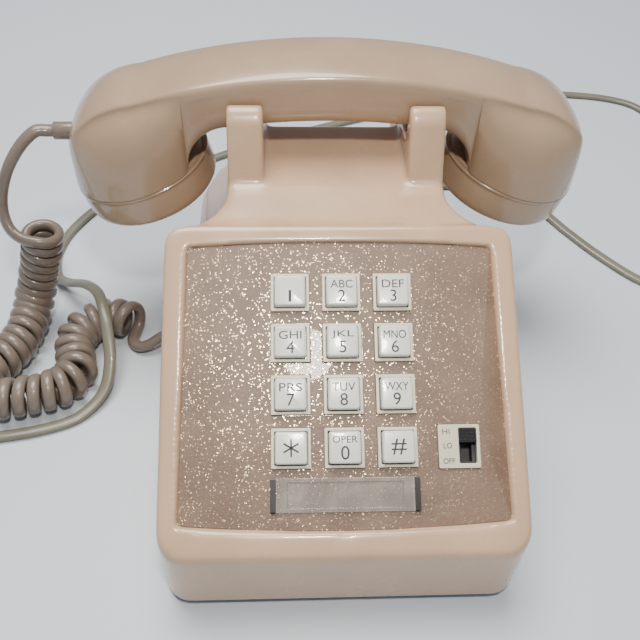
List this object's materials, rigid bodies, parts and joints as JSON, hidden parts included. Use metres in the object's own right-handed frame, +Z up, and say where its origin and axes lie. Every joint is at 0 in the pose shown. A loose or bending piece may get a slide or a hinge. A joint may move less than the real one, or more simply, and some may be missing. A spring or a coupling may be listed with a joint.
{
  "type": "push-button desk telephone",
  "caption": "Push-button desk telephone: sloped key face, high two-arm cradle, handset with round screw caps, curly handset cord and flat line cord.",
  "frame": {"origin": "on the resting plane, under the middle of the base between front and rear walls", "axes": "+X along the handset towards the receiver end, +Y from the keys to the rear wall, +Z up"},
  "size_m": [0.4521, 0.3639, 0.1355],
  "materials": {
    "shell": "glossy moulded plastic, warm beige",
    "handset_shell": "glossy moulded plastic, tan",
    "faceplate": "brown with a fine metallic sparkle and an orange-peel grain",
    "key": "glossy off-white, dark printed characters",
    "trim": "satin cream",
    "window": "clear plastic",
    "window_clip": "satin",
    "knob": "ribbed, satin black",
    "steel": "plated sheet steel",
    "pin_steel": "bright",
    "bell": "satin",
    "winding": "lacquered wire on a moulded bobbin",
    "rubber": "matt",
    "dark_plastic": "matt moulded plastic",
    "board": "laminate",
    "plunger": "natural nylon",
    "contacts": "spring brass",
    "wire": "insulated wires",
    "curly_cord": "satin vinyl, taupe",
    "line_cord": "satin vinyl, olive grey",
    "plug": "translucent modular plug"
  },
  "bodies": {
    "base": {"housing": "shell", "faceplate": "faceplate", "card_window": "window", "card_clips": "window_clip", "volume_bezel": "trim", "volume_switch": "dark_plastic", "base_plate": "steel", "feet": "rubber", "base_screws": "pin_steel", "network_block": "dark_plastic", "ringer_frame": "steel", "ringer_coil": "winding", "ringer_core": "pin_steel", "clapper_pin": "pin_steel", "gong_low": "bell", "gong_high": "bell", "gong_posts": "pin_steel", "gong_screws": "pin_steel", "hookswitch_frame": "steel", "hook_pivot_pin": "pin_steel", "hook_contacts": "contacts", "keypad_bezel": "trim", "keypad_chassis": "dark_plastic", "contact_sheet": "rubber", "keypad_circuit_board": "board", "keypad_legs": "steel", "line_cord_gland": "line_cord", "base_cord_gland": "curly_cord", "handset_cord_lead": "curly_cord", "handset_cord_coil": "curly_cord", "handset_cord_tail": "curly_cord", "line_cord_run": "line_cord", "line_cord_coil": "line_cord", "line_cord_end": "line_cord", "line_cord_plug": "plug"},
    "handset": {"handset_handle": "handset_shell", "transmitter_cap": "handset_shell", "receiver_cap": "handset_shell", "transmitter_unit": "steel", "receiver_unit": "steel", "transmitter_cup": "dark_plastic", "handset_leads": "wire", "handset_cord_gland": "curly_cord"},
    "plunger_left": {"plunger_left": "plunger"},
    "plunger_right": {"plunger_right": "plunger"},
    "hook_lever": {"hook_lever": "dark_plastic"},
    "volume_knob": {"volume_knob": "knob"},
    "clapper": {"clapper": "steel"},
    "key_1": {"key_1": "key"},
    "key_2": {"key_2": "key"},
    "key_3": {"key_3": "key"},
    "key_4": {"key_4": "key"},
    "key_5": {"key_5": "key"},
    "key_6": {"key_6": "key"},
    "key_7": {"key_7": "key"},
    "key_8": {"key_8": "key"},
    "key_9": {"key_9": "key"},
    "key_star": {"key_star": "key"},
    "key_0": {"key_0": "key"},
    "key_pound": {"key_pound": "key"}
  },
  "joints": [
    {"name": "handset_lift", "type": "slide", "parent": "base", "child": "handset", "axis": [0, 0, 1], "range_m": [0, 0.08]},
    {"name": "plunger_left_slide", "type": "slide", "parent": "base", "child": "plunger_left", "axis": [0, 0, 1], "range_m": [0, 0.005]},
    {"name": "plunger_right_slide", "type": "slide", "parent": "base", "child": "plunger_right", "axis": [0, 0, 1], "range_m": [0, 0.005]},
    {"name": "hook_lever_turn", "type": "hinge", "parent": "base", "child": "hook_lever", "pos_m": [0, 0.04358, 0.07497], "axis": [1, 0, 0], "range_deg": [0, 14], "stiffness_Nm_per_rad": 0.0001, "springref_deg": 114.59},
    {"name": "volume_slide", "type": "slide", "parent": "base", "child": "volume_knob", "axis": [0, -0.866, -0.5], "range_m": [0, 0.0073]},
    {"name": "clapper_swing", "type": "hinge", "parent": "base", "child": "clapper", "pos_m": [0, -0.02442, 0.015], "axis": [0, 0, 1], "range_deg": [-5, 5]},
    {"name": "key_1_press", "type": "slide", "parent": "base", "child": "key_1", "axis": [0, 0.5, -0.866], "range_m": [0, 0.0025], "stiffness_N_per_m": 200, "springref_m": -0.0015},
    {"name": "key_2_press", "type": "slide", "parent": "base", "child": "key_2", "axis": [0, 0.5, -0.866], "range_m": [0, 0.0025], "stiffness_N_per_m": 200, "springref_m": -0.0015},
    {"name": "key_3_press", "type": "slide", "parent": "base", "child": "key_3", "axis": [0, 0.5, -0.866], "range_m": [0, 0.0025], "stiffness_N_per_m": 200, "springref_m": -0.0015},
    {"name": "key_4_press", "type": "slide", "parent": "base", "child": "key_4", "axis": [0, 0.5, -0.866], "range_m": [0, 0.0025], "stiffness_N_per_m": 200, "springref_m": -0.0015},
    {"name": "key_5_press", "type": "slide", "parent": "base", "child": "key_5", "axis": [0, 0.5, -0.866], "range_m": [0, 0.0025], "stiffness_N_per_m": 200, "springref_m": -0.0015},
    {"name": "key_6_press", "type": "slide", "parent": "base", "child": "key_6", "axis": [0, 0.5, -0.866], "range_m": [0, 0.0025], "stiffness_N_per_m": 200, "springref_m": -0.0015},
    {"name": "key_7_press", "type": "slide", "parent": "base", "child": "key_7", "axis": [0, 0.5, -0.866], "range_m": [0, 0.0025], "stiffness_N_per_m": 200, "springref_m": -0.0015},
    {"name": "key_8_press", "type": "slide", "parent": "base", "child": "key_8", "axis": [0, 0.5, -0.866], "range_m": [0, 0.0025], "stiffness_N_per_m": 200, "springref_m": -0.0015},
    {"name": "key_9_press", "type": "slide", "parent": "base", "child": "key_9", "axis": [0, 0.5, -0.866], "range_m": [0, 0.0025], "stiffness_N_per_m": 200, "springref_m": -0.0015},
    {"name": "key_star_press", "type": "slide", "parent": "base", "child": "key_star", "axis": [0, 0.5, -0.866], "range_m": [0, 0.0025], "stiffness_N_per_m": 200, "springref_m": -0.0015},
    {"name": "key_0_press", "type": "slide", "parent": "base", "child": "key_0", "axis": [0, 0.5, -0.866], "range_m": [0, 0.0025], "stiffness_N_per_m": 200, "springref_m": -0.0015},
    {"name": "key_pound_press", "type": "slide", "parent": "base", "child": "key_pound", "axis": [0, 0.5, -0.866], "range_m": [0, 0.0025], "stiffness_N_per_m": 200, "springref_m": -0.0015}
  ],
  "couplings": [
    {"joint": "plunger_left_slide", "follows": "handset_lift", "ratio": 0.0625},
    {"joint": "plunger_right_slide", "follows": "handset_lift", "ratio": 0.0625},
    {"joint": "hook_lever_turn", "follows": "handset_lift", "rad_per_m": 3.054}
  ]
}
